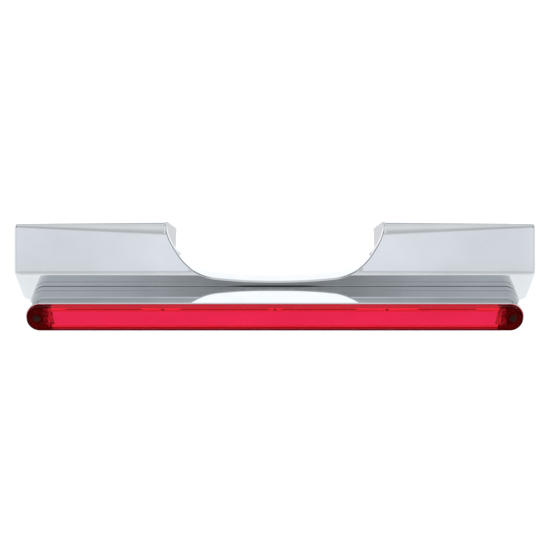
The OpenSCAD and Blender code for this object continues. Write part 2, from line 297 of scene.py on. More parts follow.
def glowing(name, scale, stretch, dark, light, base, roughness):
    """A material that gives light, its colour varying a little over the surface."""
    material, tree, shader = new_material(name)
    pattern = noise(tree, scale, stretch=stretch)
    tree.links.new(two_tone(tree, pattern, dark, light), shader.inputs["Emission Color"])
    shader.inputs["Base Color"].default_value = (*base, 1)
    shader.inputs["Emission Strength"].default_value = 1.0
    shader.inputs["Roughness"].default_value = roughness
    return material


chrome = surface("chrome", (0.60, 0.63, 0.655), (0.63, 0.66, 0.685), (0.015, 0.05), metal=1.0,
                 scale=40)


# ---- wing panel ----
# The panel is drawn flat, as X against a path coordinate q, cut along lines of equal q, and
# then folded: q runs 0 to 1 over the lower strip, to 2 round the bend, to 3 up the leaning
# face, to 4 round the rolled top edge and to 5 along the top wall.
SHEET = 1.6
LEAN = math.radians(20)
TOP_FALL = math.radians(25.5)
BEND_Z = 25.4                                       # where the two flat faces would meet
BOTTOM_Z = 0.2                                      # the lower edge
BEND_R = 12.0
WING_HEIGHT = 47.6                                  # at the cut-out
OUTER_DROP = 2.3                                    # less at the outer ends
ROLL_INNER, ROLL_OUTER = 13.5, 3.8                  # the top edge's radius, cut-out to outer end
WALL_ROLL = 5.0                                     # of the inner walls, a tighter curve
BOX_DEPTH = 50.0                                    # of the wings, along their top walls
REAR_EDGE = 30.0                                    # height of the end walls at the back
BOTTOM_LIP = 10.0                                   # depth of the end walls at the bottom
BOTTOM_HALF = 228.2
CORNER_R = 3.2                                      # of the outer ends' edges
BOTTOM_R = 4.0                                      # of the lower corners, seen from the front
CUT_EDGE_R = 1.5                                    # of the cut-out's edge, in section
CUT_X = 98.3                                        # half the cut-out's width at its top
CUT_FLOOR = 17.9                                    # its lowest point
FLANGE, FLANGE_LIP = 17.6, 4.0                      # depth below and at the top
FLANGE_NARROWS, FLANGE_LIP_Z = 31.0, 52.0           # it narrows between these heights
FLANGE_END_Q = 3.5                                  # and ends on the rolled top edge
SPLAY = math.radians(8.6)                           # the inner walls' turn towards the cut-out
UP = (math.sin(LEAN), math.cos(LEAN))               # in Y and Z
INWARD = (math.cos(LEAN), -math.sin(LEAN))
BEND_STEPS, ROLL_STEPS, TOP_STEPS = 10, 14, 8
CORNER_STEPS, CUT_EDGE_STEPS, END_STEPS = 6, 5, 6
COLUMN_PITCH, COLUMNS = 10, 23                      # the face's mesh is cut along X too
Q_BELOW_CREST = 3.55                                # the face still rises up to here
FACE_CLEAR = 0.3                                    # from the face's last point to the roll
LEAST_FLANGE = 0.4
ON_EDGE = 0.02                                      # what counts as lying on an end
ON_LEVEL = 1e-3                                     # and on the lowest or highest line
TOUCH = 0.01
WING_MIDDLE = 0.15                                  # of the right wing, in metres


def step(point, direction, distance):
    """The point at a distance from a first one."""
    return point[0] + direction[0] * distance, point[1] + direction[1] * distance


def outward_share(x):
    """0 at the cut-out's corner and 1 at the outer end."""
    return min(max((abs(x) - CUT_X) / (HALF_W - CUT_X), 0), 1)


def path_point(q, x, roll=None):
    """Y and Z of the panel's outer surface at path coordinate q, at a given X.

    roll is the radius of the top edge, if it isn't the panel's own."""
    share = outward_share(x)
    height = WING_HEIGHT - OUTER_DROP * share
    roll = roll or ROLL_INNER + (ROLL_OUTER - ROLL_INNER) * share
    bend = (PANEL_Y + BEND_R, BEND_Z - BEND_R * math.tan(LEAN / 2))
    centre = step(step((PANEL_Y, BEND_Z), UP, height - roll), INWARD, roll)
    part, t = min(int(q), 4), q - min(int(q), 4)
    if part == 0:
        return PANEL_Y, BOTTOM_Z + (bend[1] - BOTTOM_Z) * t
    if part == 1:
        angle = math.pi - LEAN * t
        return bend[0] + BEND_R * math.cos(angle), bend[1] + BEND_R * math.sin(angle)
    if part == 2:
        low = path_point(2 - 1e-9, x)
        high = step(centre, INWARD, -roll)
        return low[0] + (high[0] - low[0]) * t, low[1] + (high[1] - low[1]) * t
    if part == 3:
        angle = (math.pi - LEAN) + ((math.pi / 2 - TOP_FALL) - (math.pi - LEAN)) * t
        return centre[0] + roll * math.cos(angle), centre[1] + roll * math.sin(angle)
    top = step(centre, (math.sin(TOP_FALL), math.cos(TOP_FALL)), roll)
    return step(top, (math.cos(TOP_FALL), -math.sin(TOP_FALL)), (BOX_DEPTH - roll) * t)


def q_at_height(z, x, low=0.0, high=Q_BELOW_CREST):
    """The path coordinate where the panel's front reaches height z, by halving."""
    for _ in range(50):
        middle = (low + high) / 2
        if path_point(middle, x)[1] < z:
            low = middle
        else:
            high = middle
    return (low + high) / 2


# The cut-out's edge: a shallow floor, a rounder side, a short straight and a shoulder.
FLOOR_R, FLOOR_ANGLE, FLOOR_STEPS = 500.0, 6.0, 10
SIDE_R, SIDE_ANGLE, SIDE_STEPS = 49.0, 57.0, 26
SIDE_STRAIGHT, SHOULDER_STEPS = 7.0, 16


def cut_points():
    """The cut-out's right half, from its lowest point up, as X and Z."""
    def polar(angle):
        return math.sin(math.radians(angle)), -math.cos(math.radians(angle))
    floor_c = (0, CUT_FLOOR + FLOOR_R)
    side_c = step(floor_c, polar(FLOOR_ANGLE), FLOOR_R - SIDE_R)
    end = step(side_c, polar(SIDE_ANGLE), SIDE_R)
    along = (math.cos(math.radians(SIDE_ANGLE)), math.sin(math.radians(SIDE_ANGLE)))
    end = step(end, along, SIDE_STRAIGHT)
    shoulder_r = (CUT_X - end[0]) / (1 - math.sin(math.radians(SIDE_ANGLE)))
    shoulder_c = step(end, polar(SIDE_ANGLE), -shoulder_r)
    return (arc(floor_c, FLOOR_R, 270, 270 + FLOOR_ANGLE, FLOOR_STEPS)
            + arc(side_c, SIDE_R, 270 + FLOOR_ANGLE, 270 + SIDE_ANGLE, SIDE_STEPS)[1:]
            + arc(shoulder_c, shoulder_r, 270 + SIDE_ANGLE, 360, SHOULDER_STEPS))


def towards_cut(points, i):
    """The unit normal of the cut-out's edge at point i, into the opening, as X and Z."""
    a, b = points[max(i - 1, 0)], points[min(i + 1, len(points) - 1)]
    length = math.hypot(b[0] - a[0], b[1] - a[1])
    return -(b[1] - a[1]) / length, (b[0] - a[0]) / length


CUT = cut_points()
# Where the rounding of the cut-out's edge begins, on the panel's face.
CUT_START = [step(point, towards_cut(CUT, i), -CUT_EDGE_R) for i, point in enumerate(CUT)]
CUT_START[0] = (0, CUT_START[0][1])


def cut_x_at(z):
    """The half width of the cut-out at height z."""
    for (xa, za), (xb, zb) in zip(CUT_START, CUT_START[1:]):
        if za <= z <= zb and zb > za:
            return xa + (xb - xa) * (z - za) / (zb - za)
    return CUT_START[-1][0]


def cut_normal(x, z):
    """The edge's normal into the opening at the nearest point of the right half."""
    nearest = min(range(len(CUT_START)),
                  key=lambda i: (CUT_START[i][0] - x) ** 2 + (CUT_START[i][1] - z) ** 2)
    return towards_cut(CUT_START, nearest)


# The path coordinates of the mesh's rows, close together wherever something is curved.
ROWS = ([BOTTOM_R * (1 - math.cos(a)) / (BEND_Z - BOTTOM_Z) for a in quarter_turn(CORNER_STEPS)[1:]]
        + [1 + i / BEND_STEPS for i in range(BEND_STEPS + 1)]
        + [3 + i / ROLL_STEPS for i in range(ROLL_STEPS + 1)])


def outer_x(q):
    """The half width of the panel's face: slanted up to the bend, then straight."""
    z = path_point(q, HALF_W)[1]
    share = min((z - BOTTOM_Z) / (BEND_Z - BOTTOM_Z), 1)
    below = max(BOTTOM_R - (z - BOTTOM_Z), 0)
    rounding = BOTTOM_R - math.sqrt(BOTTOM_R ** 2 - below ** 2)
    return BOTTOM_HALF + (HALF_W - BOTTOM_HALF) * share - CORNER_R - rounding


def flat_outline():
    """The right half's outline in X and q, anticlockwise from the middle of the lower edge."""
    outer = [(outer_x(q), q) for q in [0] + ROWS + [5]]
    face_top = path_point(3, CUT_X)[1] - FACE_CLEAR
    face = [(x, q_at_height(z, x)) for x, z in CUT_START if z < face_top]
    top_rows = [4 + i / TOP_STEPS for i in range(TOP_STEPS, 0, -1)]
    roll_rows = [q for q in ROWS[::-1] if q >= 3]
    upper = [(cut_x_at(path_point(q, CUT_X)[1]), q) for q in top_rows + roll_rows]
    return [(0, 0)] + outer + upper + face[::-1]


def score(bm, point, normal):
    """Cuts the mesh along a plane and keeps both sides."""
    geometry = bm.verts[:] + bm.edges[:] + bm.faces[:]
    bmesh.ops.bisect_plane(bm, geom=geometry, dist=1e-7, plane_co=point, plane_no=normal)


def path_normal(q, x):
    """The panel's outward normal at path coordinate q, in Y and Z."""
    a, b = path_point(max(q - 1e-4, 0), x), path_point(min(q + 1e-4, 5), x)
    length = math.hypot(b[0] - a[0], b[1] - a[1])
    return -(b[1] - a[1]) / length, (b[0] - a[0]) / length


def sweep(bm, edges, move):
    """Adds a strip of faces from edges to copies of them moved by move(vertex)."""
    verts = sorted({v for e in edges for v in e.verts}, key=lambda v: (v.co.x, v.co.z, v.co.y))
    copy = {v: bm.verts.new(v.co + move(v)) for v in verts}
    for e in edges:
        a, b = e.verts
        bm.faces.new((a, b, copy[b], copy[a]))
    return [bm.edges.get((copy[a], copy[b])) for a, b in (e.verts[:] for e in edges)], copy


def round_over(bm, edges, start, steps, direction):
    """Rolls an edge over a quarter circle. direction(place) gives its two radii, as vectors.

    start holds each first vertex's place. Returns the last edges and their places."""
    place = {v: start[v] for e in edges for v in e.verts}
    for i in range(steps):
        a, b = math.pi / 2 * i / steps, math.pi / 2 * (i + 1) / steps

        def move(v):
            outward, inward = direction(place[v])
            return outward * (math.sin(b) - math.sin(a)) + inward * (math.cos(a) - math.cos(b))
        edges, copy = sweep(bm, edges, move)
        place = {copy[v]: place[v] for v in copy}
    return edges, place


def along_cut(place):
    """The directions in which the cut-out's edge is rolled: into the opening and rearward."""
    x, q = place
    mx, mz = cut_normal(abs(x), path_point(q, x)[1])
    side = 1 if x >= 0 else -1
    normal = path_normal(q, x)
    inward = Vector((0, 1, 0)) if q < 3 else Vector((0, -normal[0], -normal[1]))
    return Vector((side * mx, 0, mz)) * CUT_EDGE_R * MM, inward * CUT_EDGE_R * MM


def along_end(place):
    """The directions in which a wing's outer edge is rolled: outward and into the wing."""
    x, q = place
    side = 1 if x > 0 else -1
    normal = path_normal(q, x)
    slant = math.atan2(HALF_W - BOTTOM_HALF, BEND_Z - BOTTOM_Z) if q < 1 else 0
    outward = Vector((side * math.cos(slant), 0, -math.sin(slant)))
    return outward * CORNER_R * MM, Vector((0, -normal[0], -normal[1])) * CORNER_R * MM


def flange_depth(z):
    """The flange narrows from its full depth to a lip beside the wings' tops."""
    t = min(max((z - FLANGE_NARROWS) / (FLANGE_LIP_Z - FLANGE_NARROWS), 0), 1)
    return FLANGE + (FLANGE_LIP - FLANGE) * t * t * (3 - 2 * t)


def faces_back(bm):
    """Whether the normals point the wrong way, seen on the right wing's front."""
    def off(face):
        centre = face.calc_center_median()
        return abs(centre.x - WING_MIDDLE) + centre.y
    return min(bm.faces, key=off).normal.y > 0


def make_panel():
    """The bent sheet: both wings, the strip between them, the cut-out's flange and the ends."""
    right = flat_outline()
    left = [(-x, q) for x, q in right[::-1] if x > 0]
    bm = bmesh.new()
    bm.faces.new([bm.verts.new((x, q, 0)) for x, q in right + left])
    for q in ROWS:
        score(bm, (0, q, 0), (0, 1, 0))
    for column in range(-COLUMNS, COLUMNS + 1):
        score(bm, (column * COLUMN_PITCH, 0, 0), (1, 0, 0))
    bmesh.ops.remove_doubles(bm, verts=bm.verts[:], dist=1e-4)
    flat = {v: (v.co.x, v.co.y) for v in bm.verts}
    for v, (x, q) in flat.items():
        v.co = at(x, *path_point(q, x))
    rim = [e for e in bm.edges if e.is_boundary]

    def lies(edge, test):
        return all(test(*flat[v]) for v in edge.verts)
    ends = [e for e in rim if lies(e, lambda x, q: abs(x) > outer_x(q) - ON_EDGE)]
    level = [e for e in rim if lies(e, lambda x, q: q < ON_LEVEL)
             or lies(e, lambda x, q: q > 5 - ON_LEVEL)]
    cut = [e for e in rim if e not in ends and e not in level]
    edges, place = round_over(bm, cut, flat, CUT_EDGE_STEPS, along_cut)
    front = [e for e in edges if all(place[v][1] < FLANGE_END_Q for v in e.verts)]
    top = path_point(4, CUT_X)

    def rearward(v):
        """As far as the flange is deep, but not out through the top wall."""
        over = (v.co - at(0, *top)) / MM
        room = -(over.y * math.sin(TOP_FALL) + over.z * math.cos(TOP_FALL)) / math.sin(TOP_FALL)
        depth = flange_depth(v.co.z / MM - LAMP.z) - CUT_EDGE_R
        return Vector((0, min(depth, max(room, LEAST_FLANGE)), 0)) * MM
    sweep(bm, front, rearward)
    edges, place = round_over(bm, ends, flat, END_STEPS, along_end)
    for side in (-1, 1):
        add_outer_wall(bm, place, side)
    bmesh.ops.recalc_face_normals(bm, faces=bm.faces[:])
    if faces_back(bm):
        bmesh.ops.reverse_faces(bm, faces=bm.faces[:])
    piece = new_piece("panel_skin", bm, chrome, "chrome_panel", "wing_panel")
    thicken(piece, SHEET)
    soften(piece, 0.25, segments=2, angle=50)


def add_outer_wall(bm, place, side):
    """Closes a wing's outer end from the rounded edge to the wing's rear edge."""
    rim = sorted((v for v in place if side * place[v][0] > 0), key=lambda v: place[v][1])
    rear = step(path_point(5, HALF_W), UP, -REAR_EDGE)
    slant = (HALF_W - BOTTOM_HALF) / (BEND_Z - BOTTOM_Z)
    lower = bm.verts.new(at(side * (HALF_W - (BEND_Z - rear[1]) * slant), *rear))
    rounded = BOTTOM_Z + BOTTOM_R + TOUCH
    round_top = max(i for i, v in enumerate(rim) if v.co.z / MM - LAMP.z < rounded)
    run = (rear[0] - PANEL_Y - BOTTOM_LIP) / (rear[1] - BOTTOM_Z)
    lips = []
    for v in rim[:round_top + 1]:
        rise = max(v.co.z / MM - LAMP.z - BOTTOM_Z, 0)
        lips.append(bm.verts.new((v.co.x, at(0, PANEL_Y + BOTTOM_LIP + run * rise, 0).y, v.co.z)))
    for i in range(round_top):
        bm.faces.new((rim[i], rim[i + 1], lips[i + 1], lips[i]))
    rear_bend = bm.verts.new(at(side * HALF_W, *step(rear, UP, (BEND_Z - rear[1]) / UP[1])))
    knee = min(range(len(rim)), key=lambda i: abs(rim[i].co.z - rear_bend.co.z))
    bm.faces.new([*rim[round_top:knee + 1], rear_bend, lower, lips[-1]])
    bm.faces.new([*rim[knee:], rear_bend])


make_panel()

WALL_INSET = 0.15                                   # of the inner walls, behind the skin's front
WALL_GAP = 0.9                                      # from the cut-out's corner
# Painted shade: the inner walls are the panel's chrome, given a darker copy of it so that they look
# dimmer.
painted_shade_wall_chrome = surface("painted_shade_wall_chrome", (0.25, 0.26, 0.29), (0.27, 0.28, 0.31), (0.10, 0.16), metal=1.0,
                      scale=60)


def make_inner_walls():
    """The walls that close the wings beside the cut-out, turned a little towards it."""
    rows = [0] + [q for q in ROWS if q >= 1] + [5]
    profile = [path_point(q, CUT_X, WALL_ROLL) for q in rows]
    rear = step(path_point(5, CUT_X), UP, -REAR_EDGE)
    profile += [rear, (PANEL_Y + BOTTOM_LIP, BOTTOM_Z)]
    pivot = path_point(3, CUT_X)[0]
    for side, name in ((-1, "left_inner_wall"), (1, "right_inner_wall")):
        bm = bmesh.new()
        inner, outer = [], []
        for y, z in profile:
            y, z = y + WALL_INSET, z - WALL_INSET
            x = CUT_X + WALL_GAP - (y - pivot) * math.tan(SPLAY)
            inner.append(bm.verts.new(at(side * x, y, z)))
            outer.append(bm.verts.new(at(side * (x + SHEET), y, z)))
        bm.faces.new(inner)
        bm.faces.new(outer[::-1])
        for i in range(len(inner)):
            j = (i + 1) % len(inner)
            bm.faces.new((inner[j], inner[i], outer[i], outer[j])).material_index = 1
        bmesh.ops.recalc_face_normals(bm, faces=bm.faces[:])
        # The walls' faces take the darker copy, which is painted shade; their edges take the panel's
        # chrome.
        piece = new_piece(name, bm, painted_shade_wall_chrome, "chrome_panel", "wing_panel")
        piece.data.materials.append(chrome)
        soften(piece, 0.4, segments=2)


make_inner_walls()

FOOT_FRONT, FOOT_BACK = 0.05, 0.15                  # kept inside the skin's two faces


def make_back_plate():
    """The slot-shaped foot of the panel behind the housing."""
    bm = lathe_slot([(RIM_R, PANEL_Y + FOOT_FRONT), (RIM_R, PANEL_Y + SHEET - FOOT_BACK)], END_X)
    soften(new_piece("panel_foot", bm, chrome, "chrome_panel", "wing_panel"), 0.4)


make_back_plate()


# ---- lamp housing ----
RIM_WALL = 1.8
RIM_ROUND = 0.8
BACK_ROUND = 0.25
HOUSING_BACK = 2.5
GROOVE_BACK, GROOVE_W, GROOVE_D = 12.5, 0.8, 0.4    # a groove round the housing
# The groove's section: how far across from its middle, and how deep, as shares.
GROOVE_SHAPE = ((-1, 0), (-0.6, 0), (-0.4, 0.3), (-0.2, 1), (0.2, 1), (0.4, 0.3), (0.6, 0), (1, 0))
GROOVE_SIDE = 0.6
HOLD = 0.3                                          # keeps the shading flat beside an edge
HOUSING_STEPS, RIM_STEPS, BACK_STEPS = 40, 6, 4
# Painted shade: a darker copy of the chrome, for the middle of the groove round the housing.
painted_shade_groove_chrome = surface("painted_shade_groove_chrome", (0.13, 0.14, 0.15), (0.17, 0.18, 0.19), (0.15, 0.3),
                        metal=1.0)


def make_housing():
    """The chrome cup: its rim, its outside with the groove, and its back."""
    bore = RIM_R - RIM_WALL
    edge = RIM_ROUND
    lip = [(bore + edge * (1 - math.cos(a)), edge * (1 - math.sin(a)))
           for a in quarter_turn(RIM_STEPS)]
    lip += [(RIM_R - edge * (1 - math.cos(a)), edge * (1 - math.sin(a)))
            for a in quarter_turn(RIM_STEPS)[::-1]]
    back = [(RIM_R - BACK_ROUND * (1 - math.cos(a)), HOUSING_END - BACK_ROUND * (1 - math.sin(a)))
            for a in quarter_turn(BACK_STEPS)]
    inside = [(bore, HOUSING_END - HOUSING_BACK), (bore, edge + HOLD)]
    middle = PANEL_Y - GROOVE_BACK + GROOVE_W / 2
    groove = [(RIM_R - GROOVE_D * deep, middle + GROOVE_W * across) for across, deep in GROOVE_SHAPE]
    outside = [(RIM_R, edge + HOLD)] + groove + [(RIM_R, HOUSING_END - BACK_ROUND - HOLD)]
    bm = lathe_slot(inside + lip + outside + back, END_X, HOUSING_STEPS)
    # The groove's middle faces take the darker chrome: painted shade in the groove.
    for face in bm.faces:
        if abs(face.calc_center_median().y - at(0, middle, 0).y) < GROOVE_W * GROOVE_SIDE * MM:
            face.material_index = 1
    piece = new_piece("housing_shell", bm, chrome, "chrome_housing", "lamp_housing")
    piece.data.materials.append(painted_shade_groove_chrome)


make_housing()

SEAM_HALF, SEAM_TAPER, SEAM_H = 50, 24, 0.8         # half its length, its thin ends, its height
SEAM_PITCH, SEAM_PROUD, SEAM_T = 2, 0.1, 0.3        # its steps, place before the panel, thickness
foam = surface("foam", (0.012, 0.012, 0.013), (0.03, 0.03, 0.03), (0.8, 0.95), scale=900,
               bump_mm=0.3)


def make_seam_shade():
    """A black strip above the housing, in the middle: painted shade of the dark gap between housing and
    panel, in the foam's material.
    """
    bm = bmesh.new()
    y = PANEL_Y - SEAM_PROUD
    places = range(-SEAM_HALF, SEAM_HALF + 1, SEAM_PITCH)
    lower = [bm.verts.new(at(x, y, RIM_R - SEAM_PROUD)) for x in places]
    upper = []
    for x in places[::-1]:
        fullness = min((SEAM_HALF - abs(x)) / SEAM_TAPER, 1)
        upper.append(bm.verts.new(at(x, y, RIM_R + SEAM_H * fullness)))
    bm.faces.new(lower + upper)
    bmesh.ops.remove_doubles(bm, verts=bm.verts[:], dist=1e-7)
    piece = new_piece("seam", bm, foam, "black_foam")
    thicken(piece, SEAM_T)


make_seam_shade()

# ---- light bar ----
# Painted glow: emission in the lens's upper and lower corners, against height, standing for the bar's
# light that its body carries there.
LENS_PAINTED_GLOW = [(-10.4, (0.0, 0.0, 0.0)), (-9.3, (0.09, 0.004, 0.006)), (-8.9, (0.002, 0.0, 0.0)),
             (8.2, (0.002, 0.0, 0.0)), (8.8, (0.16, 0.006, 0.010)), (9.4, (0.15, 0.007, 0.012)),
             (10.2, (0.30, 0.016, 0.024)), (10.8, (0.45, 0.03, 0.05)), (11.05, (0.0, 0.0, 0.0))]
LENS_TINT_AND_TOP_SHADE = [(10.7, (0.93, 0.035, 0.10)), (11.05, (0.48, 0.045, 0.10))]   # its red, and painted shade: darker on its top side
GLOW_REACH = 12                                     # heights above and below that the stops span
LENS_END_PAINTED_GLOW = (0.020, 0.0002, 0.0002)             # painted glow: a faint light in its dark ends
LENS_END = (GUIDE_HALF - 1, GUIDE_HALF + 3)         # where its painted glow fades out
LENS_IOR = 1.08                                     # low, so the rails show at its corners


def clear_red():
    """The lens: clear red plastic, with painted glow in its corners and painted shade on its top side.
    """
    material, tree, shader = new_material("red_clear")
    shader.inputs["Transmission Weight"].default_value = 1.0
    shader.inputs["IOR"].default_value = LENS_IOR
    ripple = noise(tree, 60)
    tree.links.new(spread(tree, ripple, 0.0, 0.03), shader.inputs["Roughness"])
    axes = split_axes(tree)
    height = spread(tree, axes["Z"], 0.0, 1.0, (LAMP.z - GLOW_REACH) * MM, (LAMP.z + GLOW_REACH) * MM)

    def by_height(stops):
        return ramp(tree, height, [((z + GLOW_REACH) / (2 * GLOW_REACH), c) for z, c in stops])
    glow = by_height(LENS_PAINTED_GLOW)
    tree.links.new(by_height(LENS_TINT_AND_TOP_SHADE), shader.inputs["Base Color"])
    sideways = math_node(tree, "ABSOLUTE", axes["X"])
    end = spread(tree, sideways, 1.0, 0.0, LENS_END[0] * MM, LENS_END[1] * MM)
    tree.links.new(mix_colours(tree, end, LENS_END_PAINTED_GLOW, glow), shader.inputs["Emission Color"])
    shader.inputs["Emission Strength"].default_value = 1.0
    return material


red_clear = clear_red()
guide_glow = glowing("lit_guide", 25, (1, 4, 4), (0.80, 0.50, 0.72), (0.85, 0.56, 0.80),
                     (0.03, 0.02, 0.02), 0.6)
GUIDE_CUT_BACK, GUIDE_CUT_CURVE = 2.2, 0.6          # how far its ends are cut, and how roundly
GUIDE_CROWN, GUIDE_STEPS = 1.2, 12                  # how far its front bulges


def guide_x(t):
    """The bar's half length at a share t of its half height, from -1 to 1."""
    return GUIDE_HALF - GUIDE_CUT_BACK * ((1 - t) / 2) ** GUIDE_CUT_CURVE


def make_guide():
    """The lit bar: crowned in front, its ends cut back towards the bottom."""
    front, back = guide_low.y - LAMP.y, guide_high.y - LAMP.y
    middle = (guide_low.z + guide_high.z) / 2 - LAMP.z
    shares = [-1 + 2 * i / GUIDE_STEPS for i in range(GUIDE_STEPS + 1)]
    bm = bmesh.new()
    sections = []
    for side in (-1, 1):
        section = [(front + GUIDE_CROWN * t * t, t) for t in shares] + [(back, t) for t in shares[::-1]]
        sections.append([bm.verts.new(at(side * guide_x(t), y, middle + GUIDE_R * t))
                         for y, t in section])
    a, b = sections
    count = len(a)
    for i in range(count):
        j = (i + 1) % count
        bm.faces.new((a[i], a[j], b[j], b[i]))
    for section in sections:
        half = count // 2
        for i in range(half - 1):
            bm.faces.new((section[i], section[i + 1], section[count - 2 - i], section[count - 1 - i]))
    bmesh.ops.recalc_face_normals(bm, faces=bm.faces[:])
    new_piece("glow_bar", bm, guide_glow, "lit_guide", "light_guide")


make_guide()

RAIL_EDGE = 9.05                                    # the rails reach the lens's walls
RAIL_FRONT, LOWER_RAIL_FRONT, RAIL_BACK = -2.35, -1.2, 9.0
RAIL_OVERHANG, RAIL_GAP = 0.6, 0.05                 # past the bar's ends, and from the bar
SLOT_Z, SLOT_H = 8.3, 1.0
MARK_PROUD, MARK_D = 0.03, 0.3                      # the slots' painted shade and the clips are laid on the rail as black boxes
RAIL_SLOTS = [(-151, 67), (-44, 78), (39, 66), (152, 51)]    # centre and length
CLIP_PITCH, CLIP_W, CLIP_H = 99, 2.2, 1.2
END_PLATE_Y, END_PLATE_T, END_PLATE_HALF = 3.0, 1.2, 8.6    # front, thickness, half height
END_PLATE_LAP, END_PLATE_GAP = 2.6, 0.3             # behind the bar's end, and from the screw's tube
RIB_T, RIB_D, RIB_X = 0.9, 4.6, 5.2                 # thickness, depth, place along the plate
RIB_HALF, RIB_SHORT = 8.3, 0.2                      # half a rib's height, and what its end leaves free
RIB_HEIGHTS = (-6.2, -1.6, 3.0, 7.0)
END_PAINTED_LIGHT_REACH = 17                                        # painted light from the bar reaches this far along


def add_box(bm, x, y, z):
    """A box between pairs of X, Y and Z."""
    low = at(min(x), min(y), min(z))
    high = at(max(x), max(y), max(z))
    matrix = Matrix.Translation((low + high) / 2) @ Matrix.Diagonal((*(high - low), 1))
    bmesh.ops.create_cube(bm, size=1, matrix=matrix)


def end_plate_painted_light():
    """Moulded end plates: dark, with painted light from the bar in patches on their nearer side."""
    material, tree, shader = new_material("end_plate_painted_light")
    sideways = math_node(tree, "ABSOLUTE", split_axes(tree)["X"])
    near = spread(tree, sideways, 1.0, 0.0, GUIDE_HALF * MM, (GUIDE_HALF + END_PAINTED_LIGHT_REACH) * MM)
    patches = noise(tree, 480, detail=2.0)
    light = math_node(tree, "MULTIPLY", near, patches)
    colour = ramp(tree, light, [(0.20, (0.012, 0.010, 0.008)), (0.36, (0.10, 0.05, 0.04)),
                                (0.50, (0.50, 0.32, 0.24))])
    tree.links.new(colour, shader.inputs["Emission Color"])
    base = two_tone(tree, patches, (0.02, 0.015, 0.012), (0.06, 0.05, 0.04))
    tree.links.new(base, shader.inputs["Base Color"])
    shader.inputs["Emission Strength"].default_value = 1.0
    shader.inputs["Roughness"].default_value = 0.25
    bump(tree, shader, patches, 0.4, 0.15)
    return material


def make_rails():
    """The rails that hold the bar above and below, with black boxes laid on them for the clips and, as
    painted shade, for the slots.
    """
    half = GUIDE_HALF + RAIL_OVERHANG
    top, bottom = guide_high.z - LAMP.z + RAIL_GAP, guide_low.z - LAMP.z - RAIL_GAP
    # Painted light: the white rails give off light of their own, standing for the bar's light falling
    # on them.
    glow = glowing("rail_painted_light", 60, (1, 3, 3), (0.60, 0.36, 0.28), (0.70, 0.44, 0.34),
                   (0.10, 0.05, 0.04), 0.5)
    for name, front, heights in (("upper_rail", RAIL_FRONT, (top, RAIL_EDGE)),
                                 ("lower_rail", LOWER_RAIL_FRONT, (-RAIL_EDGE, bottom))):
        bm = bmesh.new()
        add_box(bm, (-half, half), (front, RAIL_BACK), heights)
        soften(new_piece(name, bm, glow, "white_plastic", "reflector"), 0.2, segments=2)
    slot_shade_and_clips = bmesh.new()
    depth = (RAIL_FRONT - MARK_PROUD, RAIL_FRONT + MARK_D)
    # Painted shade: each slot is a black box laid on the rail, not cut through it.
    for centre, length in RAIL_SLOTS:
        add_box(slot_shade_and_clips, (centre - length / 2, centre + length / 2), depth,
                (SLOT_Z - SLOT_H / 2, SLOT_Z + SLOT_H / 2))
    for i in (-1, 0, 1):
        x = i * CLIP_PITCH
        add_box(slot_shade_and_clips, (x - CLIP_W / 2, x + CLIP_W / 2), depth, (SLOT_Z - CLIP_H, SLOT_Z + SLOT_H / 2))
    soften(new_piece("rail_clips_and_slot_shade", slot_shade_and_clips, black_plastic, "black_plastic"), 0.06, segments=1)


def make_end_plates():
    """Moulded plates beside the bar's ends: one upright rib each, and four level ones."""
    material = end_plate_painted_light()
    for side, name in ((-1, "left_end_plate"), (1, "right_end_plate")):
        bm = bmesh.new()
        near, far = GUIDE_HALF - END_PLATE_LAP, SCREW_X - LENS_TUBE_R - END_PLATE_GAP
        add_box(bm, (side * near, side * far), (END_PLATE_Y, END_PLATE_Y + END_PLATE_T),
                (-END_PLATE_HALF, END_PLATE_HALF))
        rib_x, rib_front = near + RIB_X, END_PLATE_Y - RIB_D
        add_box(bm, (side * rib_x, side * (rib_x + RIB_T)), (rib_front, END_PLATE_Y),
                (-RIB_HALF, RIB_HALF))
        for z in RIB_HEIGHTS:
            add_box(bm, (side * rib_x, side * (far - RIB_SHORT)), (rib_front + 1, END_PLATE_Y),
                    (z - RIB_T / 2, z + RIB_T / 2))
        soften(new_piece(name, bm, material, "black_plastic", "reflector"), 0.25, segments=2)


# ---- materials of the pieces kept from the frame ----
zinc = surface("zinc", (0.46, 0.47, 0.48), (0.60, 0.61, 0.63), (0.28, 0.42), metal=1.0, scale=120,
               bump_mm=0.02)
bracket_zinc = surface("bracket_zinc", (0.42, 0.43, 0.45), (0.58, 0.59, 0.62), (0.30, 0.46),
                       metal=1.0, scale=90, bump_mm=0.02, stretch=(1, 3, 3))
# The lens screws: dark steel, partly its own colour and partly a painted reflection, its brown cast
# standing for the red light round them.
dark_steel_with_red_cast = surface("dark_steel_with_red_cast", (0.010, 0.005, 0.004), (0.045, 0.022, 0.018), (0.3, 0.5),
                      metal=1.0, scale=500)
black_plastic = surface("black_plastic", (0.010, 0.010, 0.011), (0.022, 0.022, 0.023), (0.38, 0.55),
                        scale=1200, bump_mm=0.03)
board_mask = surface("board_mask", (0.02, 0.10, 0.04), (0.03, 0.14, 0.06), (0.3, 0.4), scale=400)
diode = surface("diode", (0.80, 0.68, 0.28), (0.86, 0.76, 0.36), (0.3, 0.4), scale=800)
component = surface("component", (0.01, 0.01, 0.01), (0.03, 0.03, 0.03), (0.35, 0.5), scale=900)
resin = surface("resin", (0.012, 0.012, 0.014), (0.02, 0.02, 0.024), (0.12, 0.3), scale=60,
                bump_mm=0.2)
brass = surface("brass", (0.66, 0.45, 0.16), (0.76, 0.55, 0.22), (0.2, 0.35), metal=1.0)
silicone = surface("silicone", (0.36, 0.05, 0.02), (0.46, 0.08, 0.03), (0.5, 0.65), scale=500)
red_wire = surface("red_wire", (0.45, 0.01, 0.01), (0.55, 0.02, 0.02), (0.35, 0.45))
